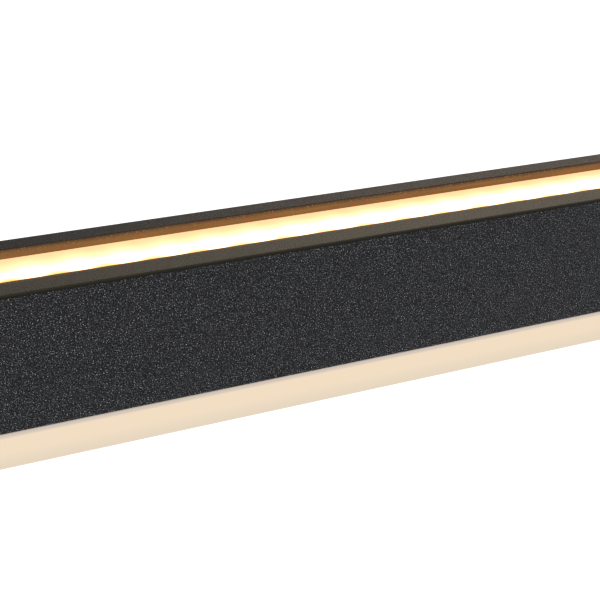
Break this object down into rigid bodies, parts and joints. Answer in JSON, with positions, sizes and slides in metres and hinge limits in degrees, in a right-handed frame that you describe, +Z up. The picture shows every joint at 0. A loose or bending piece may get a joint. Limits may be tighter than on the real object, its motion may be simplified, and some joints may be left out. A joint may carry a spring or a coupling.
{
  "type": "vanity light bar",
  "caption": "Slim black square-section light bar on a square wall canopy, with an opal strip set in its top and a proud opal trough along its underside.",
  "frame": {"origin": "centre of the wall plate's back face, on the wall", "axes": "+X along the bar, to the right as seen from the room; +Y into the wall; +Z up"},
  "size_m": [0.61, 0.071, 0.118],
  "materials": {
    "powder_coat": "black sand-textured powder coat on aluminium",
    "coated_steel": "black sand-textured powder coat on sheet steel",
    "opal_acrylic": "opal acrylic, satin",
    "opal_lit": "opal acrylic, satin, lit from inside",
    "opal_strip": "frosted acrylic strip, lit from inside",
    "white_board": "white solder mask on an aluminium board",
    "flexible_board": "white solder mask on a flexible board",
    "tape": "acrylic foam tape",
    "phosphor": "warm phosphor in a white package",
    "zinc_steel": "zinc-plated steel",
    "black_screw": "black oxide steel",
    "galvanised": "galvanised sheet steel",
    "green_screw": "green lacquered steel",
    "white_plastic": "moulded white plastic",
    "clear_nylon": "natural nylon",
    "circuit": "green glass-epoxy board",
    "ferrite": "ferrite core with yellow tape",
    "component": "dark sleeves and cases",
    "brass": "brass",
    "tinned": "tinned brass",
    "wire_black": "black wire sleeve",
    "wire_white": "white wire sleeve",
    "wire_green": "green wire sleeve",
    "wire_red": "red wire sleeve"
  },
  "bodies": {
    "root": {"bar_extrusion": "powder_coat", "end_cap_left": "powder_coat", "end_cap_right": "powder_coat", "neck": "powder_coat", "canopy_cover": "coated_steel", "upper_cover": "opal_strip", "lower_cover": "opal_lit", "cover_plug_left": "opal_acrylic", "cover_plug_right": "opal_acrylic", "end_cap_screws": "black_screw", "canopy_side_screws": "black_screw", "upper_strip_tape": "tape", "upper_led_strip": "flexible_board", "upper_led_chips": "phosphor", "lower_led_chips": "phosphor", "lower_led_board": "white_board", "lower_board_screws": "zinc_steel", "neck_screws": "zinc_steel", "neck_washers": "zinc_steel", "nut_plates": "zinc_steel", "wire_sleeve": "clear_nylon", "wall_plate": "galvanised", "ground_screw": "green_screw", "driver_case": "white_plastic", "driver_lid": "white_plastic", "driver_circuit_board": "circuit", "driver_transformer": "ferrite", "driver_components": "component", "driver_nuts": "zinc_steel", "terminal_block": "clear_nylon", "terminal_clamps": "brass", "terminal_screws": "zinc_steel", "terminal_block_nut": "zinc_steel", "earth_tag": "tinned", "earth_nut": "zinc_steel", "earth_lead": "wire_green", "neutral_lead": "wire_white", "live_lead": "wire_black", "upper_lead_positive": "wire_red", "upper_lead_negative": "wire_black", "lower_lead_positive": "wire_red", "lower_lead_negative": "wire_black"}
  },
  "joints": []
}
